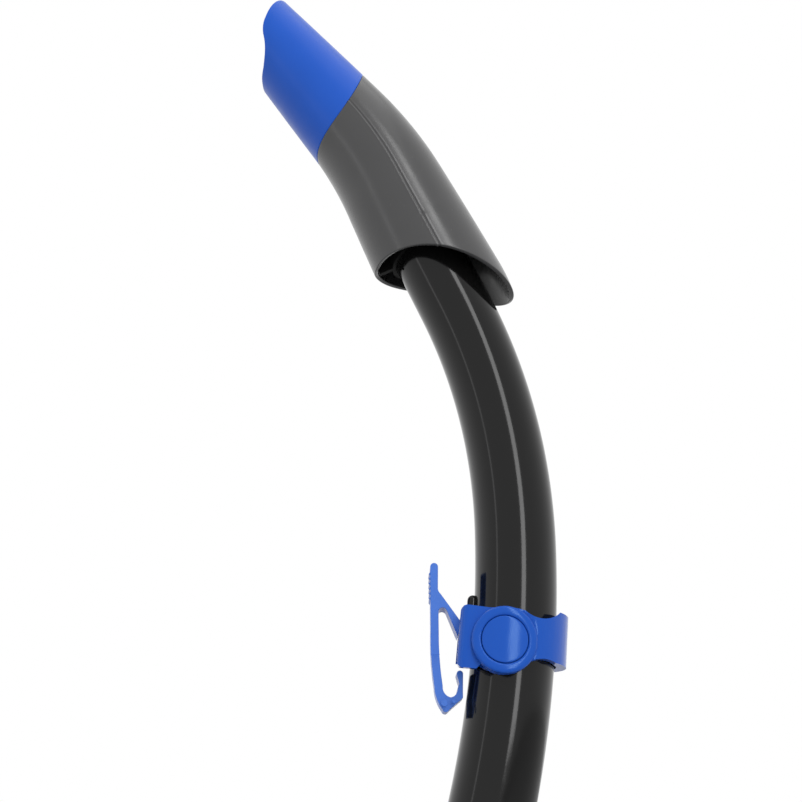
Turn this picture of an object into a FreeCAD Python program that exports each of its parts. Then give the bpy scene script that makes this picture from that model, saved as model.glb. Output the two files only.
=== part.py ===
"""Semi-dry snorkel: a curved oval tube with a splash cowl, a mask-strap keeper, a flexible hose and a purge chamber.

Millimetres. +Z is up along the tube, +X points away from the diver's head, and the mask strap runs along Y.
The origin is the centre of the slot that takes the mask strap.
"""
import FreeCAD, Part
import math
import os
import Sketcher
from FreeCAD import Placement, Rotation, Vector

SIZES = {
    # the tube's centre line, from its straightest point, the bend
    "bend_x": 23.65,             # bend, from the strap slot
    "bend_z": 38.0,
    "lower_radius": 360.0,       # gentle bend below, where the keeper rides
    "lower_angle": 18.0,
    "upper_radius": 208.0,       # tighter bend above
    "upper_angle": 25.0,
    "neck_length": 50.0,         # straight length inside the cowl
    "crown_radius": 155.0,       # last bend, under the cap
    "crown_angle": 13.0,
    # tube
    "tube_wide": 27.3,
    "tube_deep": 31.0,
    "tube_top_wide": 25.2,
    "tube_top_deep": 28.9,
    "tube_wall": 2.2,
    "tube_top": 47.0,            # above the upper bend
    "stop_height": 2.6,          # moulded stop above the keeper
    "stop_deep": 5.0,
    "stop_length": 5.7,
    # plug-in ends for the hose and the mouthpiece
    "spigot_radius": 12.6,
    "spigot_wall": 2.0,
    "spigot_length": 16.0,
    "tube_taper": 12.0,          # length over which the oval turns round
    "fit_gap": 0.05,             # running fits
    "soft_gap": 0.3,             # between pieces that only stand beside each other
    # cowl and cap
    "rim_wide": 44.6,
    "rim_deep": 46.5,
    "cap_wide": 26.5,            # where the taper ends, in the mouth
    "cap_deep": 32.0,
    "shell_wall": 1.5,
    "skirt_start": 22.0,         # sections start this far below the upper bend's end
    "taper_end": 150.0,          # and stop tapering this far above it
    "rim_height": 7.6,           # middle of the skirt's rim above the upper bend's end
    "rim_tilt": 35.5,
    "rim_arch": 5.2,
    "seam_height": 84.0,         # seam's lowest point, in front
    "seam_tilt": 23.0,
    "seam_rise": 7.4,            # from there to the rim's full width
    "lap_length": 6.0,
    "lap_wall": 1.2,
    "mouth_reach": 93.6,         # cap's lower lip, left of the bend
    "apex_height": 217.5,        # mouth's highest point, above the bend
    "apex_inset": 9.6,           # and its distance in from the lip
    "mouth_bow": 1.15,
    "swell_drop": 20.1,          # swelling in the mouth's edge, below the apex
    "swell_inset": 1.45,
    "dip_drop": 28.0,            # and the dip under it
    "dip_inset": 2.3,
    "lip_drop": 34.6,
    "lip_round": 1.3,
    # spacer and deflector in the cowl
    "spacer_height": 22.0,
    "spacer_length": 14.0,
    "spacer_wall": 1.6,
    "rib_thick": 2.4,
    "deflector_lap": 8.0,
    "deflector_length": 31.0,
    "deflector_wall": 1.4,
    "deflector_tilt": 45.0,
    # keeper, in a frame on the tube's centre line
    "keeper_drop": 34.0,         # below the bend
    "keeper_gap": 0.5,
    "band_wall": 3.25,
    "band_top": 8.7,             # outer end of the band
    "band_bottom": 7.5,
    "block_reach": 18.9,
    "block_half": 17.0,
    "block_top": 7.7,
    "block_bottom": 12.0,
    "block_round": 3.5,
    "corner_round": 2.2,         # block's corners, seen from the front
    "front_plate": 3.0,          # full-height front of the block
    "underside_tilt": 8.0,       # behind it the underside rises to the back
    "waist_x": 8.5,
    "waist_top": 5.6,
    "waist_bottom": 7.0,
    "boss_x": -4.4,
    "boss_z": -2.6,
    "boss_radius": 10.4,
    "boss_stand": 1.7,           # above the band's front
    "recess_radius": 7.5,
    "recess_depth": 0.9,
    "disc_gap": 0.1,
    "disc_thick": 1.1,
    # strap clip, from its pivot
    "pivot_x": -17.5,            # pivot, from the tube's centre line at the keeper, level with it
    "pivot_z": 3.0,
    "pocket_top": 7.6,           # room for the clip above and below the pivot
    "pocket_bottom": 5.6,
    "clip_deep": 10.0,
    "pivot_radius": 0.95,
    "pivot_seat": 2.0,           # depth of each seat in the block's cheeks
    "eye_radius": 1.5,
    "bar_reach": 7.35,           # bar's inner face
    "bar_thick": 2.6,
    "press_height": 22.1,
    "strut_top": 11.9,
    "strut_bottom": 7.0,
    "hook_drop": 21.4,
    "hook_width": 6.45,
    "hook_floor": 4.6,
    "arm_height": 8.4,
    "nose_reach": 0.2,
    "tooth_count": 6,
    "tooth_pitch": 1.65,
    "tooth_height": 0.55,
    # hose
    "hose_radius": 72.0,
    "hose_turn": 57.0,
    "hose_outer": 12.4,
    "hose_wall": 1.6,
    "ridge_count": 10,
    "ridge_height": 2.7,
    "cuff_length": 17.0,
    "cuff_wall": 2.4,
    "ring_width": 5.0,
    "ring_wall": 1.4,
    # purge chamber
    "chamber_radius": 20.0,
    "chamber_wall": 2.0,
    "chamber_skirt": 14.0,
    "flange_radius": 21.6,
    "flange_thick": 2.4,
    "seat_thick": 1.8,
    "seal_thick": 1.0,
    "window_count": 6,
    "hub_radius": 3.4,
    "window_radius": 12.6,
    "flap_radius": 14.2,
    "flap_thick": 0.8,
    "stem_radius": 1.5,
    "flap_travel": 1.2,
    "bulb_radius": 2.3,
    "cover_wall": 1.8,
    "cover_depth": 12.0,
    "slot_count": 10,
    "slot_width": 3.0,
    # mouthpiece
    "neck_wall": 2.4,
    "neck_length_soft": 16.0,
    "mouth_wide": 34.0,
    "mouth_tall": 21.0,
    "flange_wide": 62.0,
    "flange_tall": 38.0,
    "shield_thick": 2.6,
    "shield_radius": 60.0,
    "bite_length": 16.0,
    "bite_gap": 13.0,
    "bite_wide": 13.0,
    "bite_thick": 3.4,
    "lug_tall": 9.0,
    "lug_thick": 2.4,
    "tie_width": 4.0,
    "tie_wall": 1.3,
    "tie_head": 6.0,
}

doc = FreeCAD.newDocument("snorkel")
sheet = doc.addObject("Spreadsheet::Sheet", "Size")
for row, (alias, number) in enumerate(SIZES.items(), start=1):
    sheet.set(f"A{row}", alias)
    sheet.set(f"B{row}", str(number))
    sheet.setAlias(f"B{row}", alias)
doc.recompute()


def size(alias):
    """The number in the sheet's cell."""
    return float(getattr(sheet, alias))


def value(expression):
    """The number that an expression of the sheet's cells gives."""
    return float(sheet.evalExpression(expression))


def bind(thing, **expressions):
    """Ties properties to the sheet; two underscores stand for a dot in a property's path."""
    for name, expression in expressions.items():
        thing.setExpression(name.replace("__", "."), expression)
    return thing


def part(kind, name, place=None, **expressions):
    """A Part workbench object with its sizes tied to the sheet."""
    thing = bind(doc.addObject("Part::" + kind, name), **expressions)
    if place is not None:
        thing.Placement = place
    return thing


def boolean(kind, name, base, tool):
    thing = doc.addObject("Part::" + kind, name)
    thing.Base = base
    thing.Tool = tool
    return thing


def joined(name, pieces):
    thing = doc.addObject("Part::MultiFuse", name)
    thing.Shapes = pieces
    return thing


def leaning(point, lean):
    """A frame at a point whose Z leans towards -X by so many degrees."""
    return Placement(point, Rotation(Vector(0, 1, 0), -lean))


def shifted(place, x, y, z):
    return place.multiply(Placement(Vector(x, y, z), Rotation()))


# ---- the centre line -------------------------------------------------------------------------

BEND = Vector(size("bend_x"), 0, size("bend_z"))


def turned_about(point, radius, lean, start):
    """A frame further along an arc that bends towards -X and starts at a point and lean."""
    inward = Vector(-math.cos(math.radians(start)), 0, -math.sin(math.radians(start)))
    centre = point + inward * radius
    outward = Vector(math.cos(math.radians(lean)), 0, math.sin(math.radians(lean)))
    return leaning(centre + outward * radius, lean)


def line_from(place, length):
    return shifted(place, 0, 0, length)


def below(angle):
    """The frame on the lower bend, so many degrees under the straightest point."""
    return turned_about(BEND, size("lower_radius"), -angle, 0)


NECK = turned_about(BEND, size("upper_radius"), size("upper_angle"), 0)
NECK_RUN = math.radians(size("upper_angle")) * size("upper_radius")
CROWN = line_from(NECK, size("neck_length"))
CROWN_RUN = math.radians(size("crown_angle")) * size("crown_radius")


def above(height):
    """The frame on the centre line, so far along it above the end of the upper bend."""
    if height <= 0:
        lean = size("upper_angle") + math.degrees(height / size("upper_radius"))
        return turned_about(BEND, size("upper_radius"), lean, 0)
    if height <= size("neck_length"):
        return line_from(NECK, height)
    past = min(height - size("neck_length"), CROWN_RUN)
    lean = size("upper_angle") + math.degrees(past / size("crown_radius"))
    end = turned_about(CROWN.Base, size("crown_radius"), lean, size("upper_angle"))
    return line_from(end, height - size("neck_length") - past)


KEEPER = below(math.degrees(math.asin(size("keeper_drop") / size("lower_radius"))))
TUBE_END = below(size("lower_angle"))


# ---- sections, lofts and sketches ------------------------------------------------------------

def oval(name, place, wide, deep):
    """An upright ellipse across the centre line; wide and deep are expressions, deep the larger."""
    across = place.multiply(Placement(Vector(), Rotation(Vector(0, 0, 1), 90)))
    return part("Ellipse", name, across, MajorRadius=f"({deep}) / 2", MinorRadius=f"({wide}) / 2")


def loft(name, sections):
    """A solid through sections that stand close enough together for straight stretches."""
    thing = doc.addObject("Part::Loft", name)
    thing.Sections = sections
    thing.Solid = True
    thing.Ruled = True
    return thing


def extruded(name, base, place, length):
    """A section drawn out along the Z of its frame."""
    thing = doc.addObject("Part::Extrusion", name)
    thing.Base = base
    thing.DirMode = "Custom"
    thing.Dir = place.Rotation.multVec(Vector(0, 0, 1))
    thing.Solid = True
    return bind(thing, LengthFwd=length)


def origin_plane(body, role):
    return next(f for f in body.Origin.OriginFeatures if f.Role == role)


def outline(parent, name, role, start, *legs, offset=None):
    """A closed sketch. A leg is the next corner, or a point on an arc and then the next corner.

    Corners are pairs of expressions, and each is held by two constraints tied to the sheet.
    """
    sketch = new_sketch(parent, name, role, offset)

    def point(pair):
        return Vector(value(pair[0]), value(pair[1]), 0)

    def pin(geometry, position, pair, tag):
        for axis, expression in zip("XY", pair):
            distance = Sketcher.Constraint("Distance" + axis, geometry, position, value(expression))
            sketch.renameConstraint(sketch.addConstraint(distance), tag + axis)
            sketch.setExpression("Constraints." + tag + axis, expression)

    drawn = []
    last = start
    for leg in legs:
        corner = leg[-2:]
        if len(leg) == 2:
            edge = sketch.addGeometry(Part.LineSegment(point(last), point(corner)), False)
            drawn.append((edge, 1, 2))
        else:
            edge = sketch.addGeometry(Part.Arc(point(last), point(leg[:2]), point(corner)), False)
            forward = (sketch.getPoint(edge, 1) - point(last)).Length < 1e-6
            drawn.append((edge, 1, 2) if forward else (edge, 2, 1))
        last = corner
    for number, (edge, _, end) in enumerate(drawn):
        after, begin, _ = drawn[(number + 1) % len(drawn)]
        sketch.addConstraint(Sketcher.Constraint("Coincident", edge, end, after, begin))
    for number, leg in enumerate(legs):
        edge, _, end = drawn[number]
        pin(edge, end, leg[-2:], f"corner{number}")
        if len(leg) == 4:
            middle = sketch.addGeometry(Part.Point(point(leg[:2])), True)
            sketch.addConstraint(Sketcher.Constraint("PointOnObject", middle, 1, edge))
            pin(middle, 1, leg[:2], f"middle{number}")
    return sketch


def new_sketch(parent, name, role, offset=None):
    if parent is None:
        sketch = doc.addObject("Sketcher::SketchObject", name)
        sketch.Placement = Placement(Vector(), Rotation(Vector(1, 0, 0), 90))
        return sketch
    sketch = parent.newObject("Sketcher::SketchObject", name)
    sketch.AttachmentSupport = [(origin_plane(parent, role), "")]
    sketch.MapMode = "FlatFace"
    if offset is not None:
        sketch.AttachmentOffset = offset
    doc.recompute()
    return sketch


def circles(body, name, role, x, y, *radii, offset=None):
    """A sketch of concentric circles; the centre and radii are expressions."""
    sketch = new_sketch(body, name, role, offset)
    centre = Vector(value(x), value(y), 0)
    for number, radius in enumerate(radii):
        circle = Part.Circle(centre, Vector(0, 0, 1), value(radius))
        edge = sketch.addGeometry(circle, False)
        for kind, tag, expression in (("DistanceX", "x", x), ("DistanceY", "y", y)):
            held = Sketcher.Constraint(kind, edge, 3, value(expression))
            sketch.renameConstraint(sketch.addConstraint(held), f"{tag}{number}")
            sketch.setExpression(f"Constraints.{tag}{number}", expression)
        held = Sketcher.Constraint("Radius", edge, value(radius))
        sketch.renameConstraint(sketch.addConstraint(held), f"r{number}")
        sketch.setExpression(f"Constraints.r{number}", radius)
    return sketch


def ellipse_sketch(body, name, half_wide, half_deep):
    """A sketch of one upright ellipse about the origin, held by its two axes."""
    sketch = new_sketch(body, name, "XY_Plane")
    shape = Part.Ellipse(Vector(0, value(half_deep), 0), Vector(value(half_wide), 0, 0), Vector())
    edge = sketch.addGeometry(shape, False)
    sketch.exposeInternalGeometry(edge)
    sketch.addConstraint(Sketcher.Constraint("Coincident", edge, 3, -1, 1))
    sketch.addConstraint(Sketcher.Constraint("Vertical", edge + 1))
    for line, tag, half in ((edge + 1, "deep", half_deep), (edge + 2, "wide", half_wide)):
        held = Sketcher.Constraint("Distance", line, 2 * value(half))
        sketch.renameConstraint(sketch.addConstraint(held), tag)
        sketch.setExpression(f"Constraints.{tag}", f"2 * ({half})")
    return sketch


def new_body(label, place):
    body = doc.addObject("PartDesign::Body", label)
    body.Placement = place
    return body


def feature(body, kind, name, sketch, **expressions):
    thing = body.newObject("PartDesign::" + kind, name)
    thing.Profile = sketch
    return bind(thing, **expressions)


def pad(body, name, sketch, length, both_ways=False, reverse=False):
    thing = feature(body, "Pad", name, sketch, Length=length)
    thing.Midplane = both_ways
    thing.Reversed = reverse
    return thing


def pocket(body, name, sketch, length, both_ways=False, reverse=False):
    thing = feature(body, "Pocket", name, sketch, Length=length)
    thing.Midplane = both_ways
    thing.Reversed = reverse
    return thing


def turned(body, name, start, *legs, cut=False):
    """A profile in the XZ plane turned about the body's own Z axis."""
    sketch = outline(body, name + "_profile", "XZ_Plane", start, *legs)
    thing = feature(body, "Groove" if cut else "Revolution", name, sketch)
    thing.ReferenceAxis = (sketch, ["V_Axis"])
    thing.Angle = 360
    return thing


def ring_pattern(body, name, original, count, angle="360", axis="Z_Axis"):
    thing = body.newObject("PartDesign::PolarPattern", name)
    thing.Originals = [original]
    thing.Axis = (origin_plane(body, axis), [""])
    bind(thing, Angle=angle, Occurrences=count)
    body.Tip = thing
    return thing


def tube_size(height, extra):
    """Expressions for the tube's width and depth at a height above the upper bend, plus an amount."""
    rise = NECK_RUN + height
    share = min(max(rise / (NECK_RUN + size("tube_top")), 0.0), 1.0)
    wide = f"Size.tube_wide + (Size.tube_top_wide - Size.tube_wide) * {share:.5f} + {extra}"
    deep = f"Size.tube_deep + (Size.tube_top_deep - Size.tube_deep) * {share:.5f} + {extra}"
    return wide, deep


def tube_loft(name, heights, extra):
    """A solid with the tube's section, grown by an amount, between heights above the upper bend."""
    ovals = []
    for number, height in enumerate(heights):
        wide, deep = tube_size(height, extra)
        ovals.append(oval(f"{name}_oval{number}", above(height), wide, deep))
    return loft(name, ovals)


def steps(low, high, count):
    return [low + (high - low) * i / count for i in range(count + 1)]


# ---- tube ------------------------------------------------------------------------------------

ROUND_END = line_from(TUBE_END, -size("tube_taper"))


def tube_solid(name, extra, low_steps, bend_steps, top_steps):
    """The tube's oval from the round lower end to the top."""
    round_size = f"2 * Size.spigot_radius + 1.6 + {extra}"
    halfway = line_from(TUBE_END, -size("tube_taper") / 2)
    half_wide = f"(Size.tube_wide + 2 * Size.spigot_radius + 1.6) / 2 + {extra}"
    half_deep = f"(Size.tube_deep + 2 * Size.spigot_radius + 1.6) / 2 + {extra}"
    ovals = [
        oval(name + "_round", ROUND_END, round_size, round_size),
        oval(name + "_halfway", halfway, half_wide, half_deep),
    ]
    for number, angle in enumerate(steps(size("lower_angle"), 0.0, low_steps)):
        ovals.append(oval(f"{name}_low{number}", below(angle), *tube_size(-NECK_RUN, extra)))
    heights = steps(-NECK_RUN, 0.0, bend_steps) + steps(0.0, size("tube_top"), top_steps)[1:]
    for number, height in enumerate(heights[1:]):
        ovals.append(oval(f"{name}_high{number}", above(height), *tube_size(height, extra)))
    return loft(name, ovals)


def make_tube():
    outer = tube_solid("tube_outer", "0", 7, 7, 1)
    bore = tube_solid("tube_bore", "-2 * Size.tube_wall", 5, 5, 1)
    spigot = part("Cylinder", "tube_spigot", line_from(ROUND_END, -size("spigot_length")),
                  Radius="Size.spigot_radius", Height="Size.spigot_length + 1")
    through = part("Cylinder", "tube_spigot_bore",
                   line_from(ROUND_END, -size("spigot_length") - 1),
                   Radius="Size.spigot_radius - Size.spigot_wall", Height="Size.spigot_length + 2")
    left = -size("tube_wide") / 2 - size("stop_height")
    base = size("block_top") + size("soft_gap")
    round_part = size("stop_height")
    foot = part("Box", "stop_foot", shifted(KEEPER, left, -size("stop_deep") / 2, base),
                Length="Size.stop_height + 1", Width="Size.stop_deep",
                Height=f"Size.stop_length - {round_part}")
    turn = Placement(Vector(), Rotation(Vector(1, 0, 0), -90))
    middle = shifted(KEEPER, left + round_part, -size("stop_deep") / 2,
                     base + size("stop_length") - round_part)
    head = part("Cylinder", "stop_head", middle.multiply(turn),
                Radius=f"{round_part}", Height="Size.stop_deep")
    solid = joined("tube_solid", [outer, spigot, foot, head])
    hollow = joined("tube_hollow", [bore, through])
    return boolean("Cut", "tube", solid, hollow)


# ---- cowl and cap ----------------------------------------------------------------------------

def shell_loft(name, inset, heights):
    """A solid with the cowl's section, drawn in by an inset, through heights on the centre line."""
    start = -size("skirt_start")
    ovals = []
    for number, height in enumerate(heights):
        share = min(max((height - start) / (size("taper_end") - start), 0.0), 1.0)
        full = 1.0 - share ** 1.5
        wide = f"Size.cap_wide + (Size.rim_wide - Size.cap_wide) * {full:.5f} - 2 * ({inset})"
        deep = f"Size.cap_deep + (Size.rim_deep - Size.cap_deep) * {full:.5f} - 2 * ({inset})"
        ovals.append(oval(f"{name}_oval{number}", above(height), wide, deep))
    return loft(name, ovals)


def slab(name, place, low, high):
    """A thick plate across the part, between two distances along a frame's Z."""
    reach = size("rim_wide") * 2
    return part("Box", name, shifted(place, -reach, -reach, low),
                Length=f"{2 * reach}", Width=f"{2 * reach}", Height=f"{high - low}")


def past_seam(name, shift):
    """Everything past the tilted seam, or past a line beside it; its front dips between the sides."""
    half = "Size.rim_wide / 2"
    reach = "2 * Size.rim_wide"
    far = "Size.apex_height / 2"
    seam = above(size("seam_height")).multiply(
        Placement(Vector(), Rotation(Vector(0, 1, 0), -size("seam_tilt"))))
    edge = outline(
        None, name + "_edge", None, (f"-{half}", "Size.seam_rise"),
        ("0", "0", half, "Size.seam_rise"), (reach, "Size.seam_rise"), (reach, far),
        (f"-{reach}", far), (f"-{reach}", "Size.seam_rise"), (f"-{half}", "Size.seam_rise"))
    edge.Placement = shifted(seam, 0, 0, shift).multiply(edge.Placement)
    return across(name, edge)


def across(name, edge):
    """An outline from the side, drawn out to both faces of the part."""
    prism = doc.addObject("Part::Extrusion", name)
    prism.Base = edge
    prism.DirMode = "Custom"
    prism.Dir = Vector(0, 1, 0)
    prism.Solid = True
    prism.Symmetric = True
    return bind(prism, LengthFwd="2 * Size.rim_deep")


def rim_cutter():
    """The cylinder across the cowl whose top leaves the rim's low arch."""
    half = size("rim_wide") / 2 + 4
    radius = (half ** 2 + size("rim_arch") ** 2) / (2 * size("rim_arch"))
    rim = above(size("rim_height")).multiply(
        Placement(Vector(), Rotation(Vector(0, 1, 0), size("rim_tilt"))))
    reach = size("rim_deep")
    centre = shifted(rim, 0, -reach, size("rim_arch") - radius)
    turn = Placement(Vector(), Rotation(Vector(1, 0, 0), -90))
    return part("Cylinder", "rim_cutter", centre.multiply(turn),
                Radius=f"{radius}", Height=f"{2 * reach}")


def cowl_rows():
    """Heights of the cowl's sections; the last few also carry the ring that plugs into it."""
    high = size("seam_height") + size("rim_wide") / 2
    low = steps(-size("skirt_start"), 0.0, 2) + steps(0.0, size("neck_length"), 2)[1:]
    return low + steps(size("neck_length"), high, 4)[1:]


def make_cowl():
    heights = cowl_rows()
    shell = boolean("Cut", "cowl_shell", shell_loft("cowl_outer", "0", heights),
                    shell_loft("cowl_inner", "Size.shell_wall", heights))
    lower = boolean("Cut", "cowl_below_seam", shell, past_seam("cowl_seam", 0))
    return boolean("Cut", "cowl", lower, rim_cutter())


def mouth_cutter():
    """Everything beyond the cap's mouth, whose edge swells a little and dips above the lip."""
    lip_x = "Size.bend_x - Size.mouth_reach"
    apex_x = f"{lip_x} + Size.apex_inset"
    apex_z = "Size.bend_z + Size.apex_height"
    swell_x = f"{lip_x} + Size.swell_inset"
    swell_z = f"{apex_z} - Size.swell_drop"
    dip_x = f"{lip_x} + Size.dip_inset"
    dip_z = f"{apex_z} - Size.dip_drop"
    lip_z = f"{apex_z} - Size.lip_drop"
    soft = "Size.lip_round"
    beyond = "2 * Size.rim_wide"
    upper_x = f"{swell_x} + 1.0"
    upper_z = f"{swell_z} + 4.6"
    edge = outline(
        None, "mouth_edge", None, (apex_x, apex_z),
        (f"({apex_x} + {upper_x}) / 2 - Size.mouth_bow",
         f"({apex_z} + {upper_z}) / 2 - Size.mouth_bow", upper_x, upper_z),
        (swell_x, swell_z, f"{swell_x} + 0.4", f"{swell_z} - 3.4"),
        (dip_x, dip_z, f"{dip_x} - 0.9", f"{dip_z} - 5.2"),
        (f"{lip_x} + 0.5", lip_z),
        (f"{lip_x} + 0.3", f"{lip_z} - 0.8 * {soft}", f"{lip_x} + 0.8", f"{lip_z} - 1.6 * {soft}"),
        (f"{lip_x} - {beyond}", f"{lip_z} - 1.6 * {soft}"),
        (f"{lip_x} - {beyond}", f"{apex_z} + {beyond}"),
        (f"{apex_x} + {beyond}", f"{apex_z} + {beyond}"), (apex_x, apex_z))
    return across("mouth_cutter", edge)


def make_cap():
    """The cap above the seam, and a ring below it that plugs into the cowl."""
    bent = size("neck_length") + CROWN_RUN
    top = above(bent)
    lean = math.radians(size("upper_angle") + size("crown_angle"))
    left = BEND.z + size("apex_height") - top.Base.z
    heights = steps(size("seam_height") - size("rim_wide") / 2, bent, 2)
    heights += steps(bent, bent + left / math.cos(lean), 2)[1:]
    within = heights[:-1] + [heights[-1] + 1]
    length = size("lap_length")
    above_seam = boolean("Common", "cap_above_seam", shell_loft("cap_outer", "0", heights),
                         past_seam("cap_seam", 0))
    near = cowl_rows()[-4:]
    lap = boolean("Common", "plug_lap",
                  shell_loft("plug_outer", "Size.shell_wall + Size.fit_gap", near),
                  past_seam("plug_end", -length))
    plug = boolean("Cut", "cap_plug", lap, past_seam("plug_top", length / 6))
    room = boolean("Common", "cap_room", shell_loft("cap_inner", "Size.shell_wall", within),
                   past_seam("room_seam", length / 4))
    bore = shell_loft("plug_bore", "Size.shell_wall + Size.lap_wall", near)
    shell = boolean("Cut", "cap_shell", joined("cap_solid", [above_seam, plug]),
                    joined("cap_hollow", [room, bore]))
    return boolean("Cut", "splash_cap", shell, mouth_cutter())


def make_spacer():
    low = size("spacer_height")
    high = low + size("spacer_length")
    ring = tube_loft("spacer_ring", [low, high], "2 * Size.spacer_wall")
    inside = tube_loft("spacer_bore", [low - 1, high + 1], "2 * Size.fit_gap")
    room = shell_loft("spacer_room", "Size.shell_wall + Size.fit_gap", [low, high])
    middle = above(low)
    reach = size("rim_deep")
    thick = size("rib_thick")
    across = part("Box", "rib_across", shifted(middle, -reach, -thick / 2, 0),
                  Length=f"{2 * reach}", Width="Size.rib_thick", Height="Size.spacer_length")
    along = part("Box", "rib_along", shifted(middle, -thick / 2, -reach, 0),
                 Length="Size.rib_thick", Width=f"{2 * reach}", Height="Size.spacer_length")
    ribs = boolean("Common", "spacer_ribs", joined("rib_cross", [across, along]), room)
    return boolean("Cut", "cowl_spacer", joined("spacer_solid", [ring, ribs]), inside)


def make_deflector():
    low = size("tube_top") - size("deflector_lap")
    high = size("tube_top") + size("deflector_length")
    grown = "2 * Size.fit_gap"
    middle = size("tube_top") + size("fit_gap")
    outer = tube_loft("deflector_outer", [low, middle, high],
                      f"{grown} + 2 * Size.deflector_wall")
    inner = tube_loft("deflector_inner", [low - 1, middle, high + 1], grown)
    sleeve = boolean("Cut", "deflector_sleeve", outer, inner)
    tip = above((size("tube_top") + high) / 2).multiply(
        Placement(Vector(), Rotation(Vector(0, 1, 0), size("deflector_tilt"))))
    return boolean("Cut", "deflector", sleeve, slab("deflector_cut", tip, 0, high))


# ---- keeper ----------------------------------------------------------------------------------

PIVOT = Placement(Vector(KEEPER.Base.x + size("pivot_x"), 0,
                         KEEPER.Base.z + size("pivot_z")), Rotation())


def make_collar():
    body = new_body("keeper_collar", KEEPER)
    high = "2 * Size.boss_radius + 6"
    gap_wide = "Size.tube_wide / 2 + Size.keeper_gap"
    gap_deep = "Size.tube_deep / 2 + Size.keeper_gap"
    ring = ellipse_sketch(body, "band_oval", f"{gap_wide} + Size.band_wall",
                          f"{gap_deep} + Size.band_wall")
    pad(body, "band", ring, high, both_ways=True)
    left = "-Size.block_reach"
    half = "Size.block_half"
    soft = "Size.block_round"
    bend = f"{soft} * 0.293"
    block = outline(
        body, "block_plan", "XY_Plane", ("0", f"-{half}"), ("0", half),
        (f"{left} + {soft}", half),
        (f"{left} + {bend}", f"{half} - {bend}", left, f"{half} - {soft}"),
        (left, f"-{half} + {soft}"),
        (f"{left} + {bend}", f"-{half} + {bend}", f"{left} + {soft}", f"-{half}"),
        ("0", f"-{half}"))
    pad(body, "block", block, high, both_ways=True)
    bore = ellipse_sketch(body, "bore_oval", gap_wide, gap_deep)
    pocket(body, "bore", bore, f"{high} + 2", both_ways=True)
    far = "Size.tube_deep"
    corner = "Size.corner_round"
    top = "Size.block_top"
    low = "-Size.block_bottom"
    waist = "Size.waist_x"
    boss = "Size.boss_x"
    under = "Size.boss_z - Size.boss_radius"
    upper = outline(
        body, "top_trim", "XZ_Plane", (f"-{far}", f"{top} - {corner}"), (left, f"{top} - {corner}"),
        (f"{left} + 0.293 * {corner}", f"{top} - 0.293 * {corner}", f"{left} + {corner}", top),
        (f"{boss} - 5", f"{top} - 0.3"),
        (boss, f"{top} + 0.1", f"{boss} + 6", f"{top} - 0.6"),
        (waist, "Size.waist_top", f"{waist} + 4.8", "Size.band_top"),
        (far, "Size.band_top"), (far, far), (f"-{far}", far), (f"-{far}", f"{top} - {corner}"))
    pocket(body, "top_cut", upper, f"3 * {far}", both_ways=True)
    lower = outline(
        body, "bottom_trim", "XZ_Plane", (f"-{far}", f"{low} + {corner}"),
        (left, f"{low} + {corner}"),
        (f"{left} + 0.293 * {corner}", f"{low} + 0.293 * {corner}", f"{left} + {corner}", low),
        (f"{boss} - 8.2", low),
        (f"{boss} - 6.8", f"{low} + 1.6"),
        (boss, under, f"{boss} + 8.4", "Size.boss_z - Size.boss_radius / 2 - 0.6"),
        (waist, "-Size.waist_bottom", f"{waist} + 4.2", "-Size.band_bottom"),
        (far, "-Size.band_bottom"), (far, f"-{far}"), (f"-{far}", f"-{far}"),
        (f"-{far}", f"{low} + {corner}"))
    pocket(body, "bottom_cut", lower, f"3 * {far}", both_ways=True)
    behind = f"-{half} + Size.front_plate"
    back = "Size.tube_deep"
    rise = f"({back} - {behind}) * tan(Size.underside_tilt * 1 deg)"
    wedge = outline(
        body, "underside_side", "YZ_Plane", (behind, low), (back, f"{low} + {rise}"),
        (back, f"{low} - 1"), (behind, f"{low} - 1"), (behind, low))
    pocket(body, "underside", wedge, f"3 * {far}", both_ways=True)
    front = "Size.tube_deep / 2 + Size.keeper_gap + Size.band_wall"
    start = "Size.tube_deep / 2 + Size.keeper_gap + 0.1"
    disc = circles(body, "boss_circle", "XZ_Plane", boss, "Size.boss_z", "Size.boss_radius")
    disc.AttachmentOffset = Placement(Vector(0, 0, value(start)), Rotation())
    pad(body, "boss", disc, f"{front} + Size.boss_stand - ({start})")
    dish = circles(body, "recess_circle", "XZ_Plane", boss, "Size.boss_z", "Size.recess_radius")
    dish.AttachmentOffset = Placement(Vector(0, 0, value(f"{front} + Size.boss_stand")), Rotation())
    pocket(body, "recess", dish, "Size.recess_depth")
    pivot = KEEPER.inverse().multVec(PIVOT.Base)
    floor = pivot.x + size("eye_radius") + size("soft_gap")
    mouth = part_box(body, "clip_pocket", Vector(-size("block_reach") - 2,
                     -size("clip_deep") / 2 - size("soft_gap"), pivot.z - size("pocket_bottom")),
                     Length=f"{floor + size('block_reach') + 2}",
                     Width="Size.clip_deep + 2 * Size.soft_gap",
                     Height="Size.pocket_top + Size.pocket_bottom")
    seats = body.newObject("PartDesign::SubtractiveCylinder", "pivot_seats")
    deep = size("clip_deep") / 2 + size("soft_gap") + size("pivot_seat")
    seats.Placement = Placement(Vector(pivot.x, deep, pivot.z), Rotation(Vector(1, 0, 0), 90))
    bind(seats, Radius="Size.pivot_radius + Size.fit_gap", Height=f"{2 * deep}")
    doc.recompute()
    front_y = -value(f"{front} + Size.boss_stand")
    rim = [e for e in body.Tip.Shape.Edges if is_circle(e, size("boss_radius"))
           and abs(e.CenterOfMass.y - front_y) < 1e-6]
    bevel(body, "boss_edge", 0.6, rim)
    return body


def part_box(body, name, corner, **expressions):
    box = body.newObject("PartDesign::SubtractiveBox", name)
    box.Placement = Placement(corner, Rotation())
    return bind(box, **expressions)


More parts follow.
